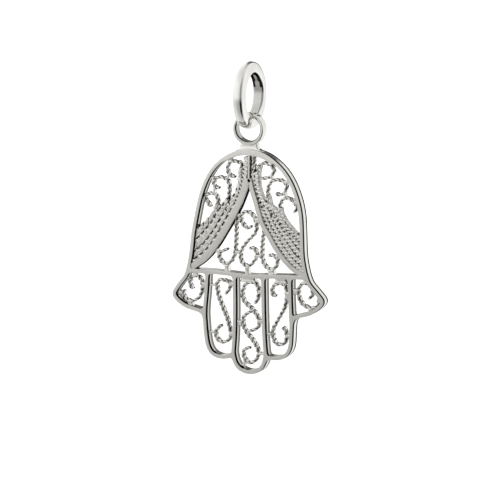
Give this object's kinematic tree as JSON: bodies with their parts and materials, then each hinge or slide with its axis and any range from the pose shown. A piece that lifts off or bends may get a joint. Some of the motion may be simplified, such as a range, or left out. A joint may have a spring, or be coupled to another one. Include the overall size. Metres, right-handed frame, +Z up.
{
  "type": "hand pendant",
  "caption": "Open wirework pendant in the shape of a hand pointing down, with leaf-like rows and curled wires, a soldered ring and a heavy bail for a chain.",
  "frame": {"origin": "inner top of the bail, where the chain runs through and carries the pendant", "axes": "+Z up along the hanging pendant, X across the hand and along the bail's opening, -Y the front"},
  "size_m": [0.0181, 0.0074, 0.0348],
  "materials": {
    "silver": "sterling silver, polished on the frame, a little darkened between the wires",
    "polished_silver": "sterling silver, polished bright"
  },
  "bodies": {
    "bail": {"bail": "polished_silver"},
    "hand": {"hand": "silver"}
  },
  "joints": [
    {"name": "hand_swing", "type": "hinge", "parent": "bail", "child": "hand", "pos_m": [0, 0, -0.00245], "axis": [1, 0, 0], "range_deg": [-120, 120]}
  ]
}
